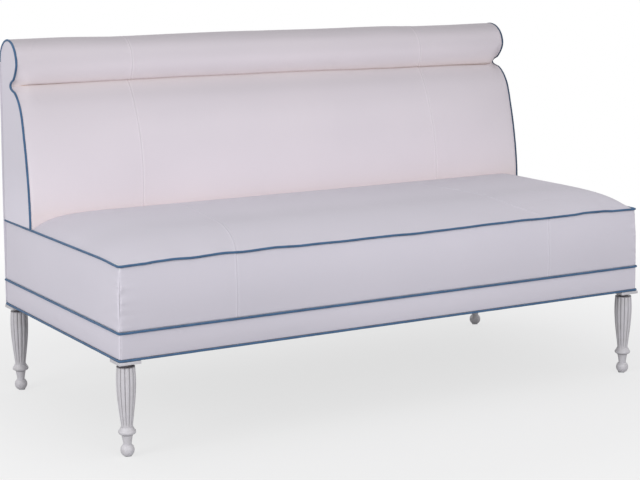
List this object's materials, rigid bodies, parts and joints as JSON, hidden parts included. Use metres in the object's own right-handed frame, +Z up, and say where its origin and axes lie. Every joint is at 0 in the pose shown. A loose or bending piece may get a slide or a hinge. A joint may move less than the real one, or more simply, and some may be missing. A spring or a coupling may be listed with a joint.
{
  "type": "banquette",
  "caption": "Armless upholstered banquette with a tight crowned seat, a raked back under a full-width roll, contrast welting and turned, reeded white legs on ball feet.",
  "frame": {"origin": "on the floor, at the centre of the footprint", "axes": "+X to the right as seen from the front, along the seat; +Y to the rear; +Z up; the front faces -Y"},
  "size_m": [1.581, 0.779, 0.9645],
  "materials": {
    "cover_fabric": "off-white plain-woven upholstery fabric with a faint lavender cast",
    "welt_fabric": "blue woven contrast welting",
    "leg_paint": "turned wood in white satin paint",
    "frame_wood": "planed, unfinished hardwood",
    "plywood": "unfinished plywood",
    "steel": "zinc-plated steel",
    "hessian": "coarse woven spring cloth",
    "foam": "open-cell upholstery foam",
    "wadding": "bonded polyester wadding",
    "board": "hard fibreboard",
    "dust_cloth": "black spun-bonded cloth"
  },
  "bodies": {
    "root": {"front_left_post": "frame_wood", "front_right_post": "frame_wood", "rear_left_post": "frame_wood", "rear_right_post": "frame_wood", "front_rail": "frame_wood", "rear_rail": "frame_wood", "left_side_rail": "frame_wood", "right_side_rail": "frame_wood", "left_stretcher": "frame_wood", "right_stretcher": "frame_wood", "left_cheek": "plywood", "right_cheek": "plywood", "left_upright": "frame_wood", "right_upright": "frame_wood", "roll_pole": "frame_wood", "upper_back_rail": "frame_wood", "lower_back_rail": "frame_wood", "frame_dowels": "frame_wood", "frame_screws": "steel", "seat_springs": "steel", "seat_spring_clips": "steel", "back_springs": "steel", "back_spring_clips": "steel", "seat_insulator": "hessian", "back_insulator": "hessian", "seat_foam": "foam", "back_foam": "foam", "roll_foam": "foam", "front_pad": "wadding", "left_pad": "wadding", "right_pad": "wadding", "left_end_pad": "wadding", "right_end_pad": "wadding", "seat_cover": "cover_fabric", "front_border": "cover_fabric", "left_border": "cover_fabric", "right_border": "cover_fabric", "front_band": "cover_fabric", "left_band": "cover_fabric", "right_band": "cover_fabric", "inside_back_cover": "cover_fabric", "roll_cover": "cover_fabric", "left_end_panel": "cover_fabric", "right_end_panel": "cover_fabric", "outside_back_board": "board", "outside_back_cover": "cover_fabric", "seat_welt": "welt_fabric", "band_top_welt": "welt_fabric", "band_bottom_welt": "welt_fabric", "left_back_welt": "welt_fabric", "right_back_welt": "welt_fabric", "dust_cover": "dust_cloth", "front_left_leg": "leg_paint", "front_right_leg": "leg_paint", "rear_left_leg": "leg_paint", "rear_right_leg": "leg_paint", "hanger_bolts": "steel", "leg_inserts": "steel", "foot_glides": "steel"}
  },
  "joints": []
}
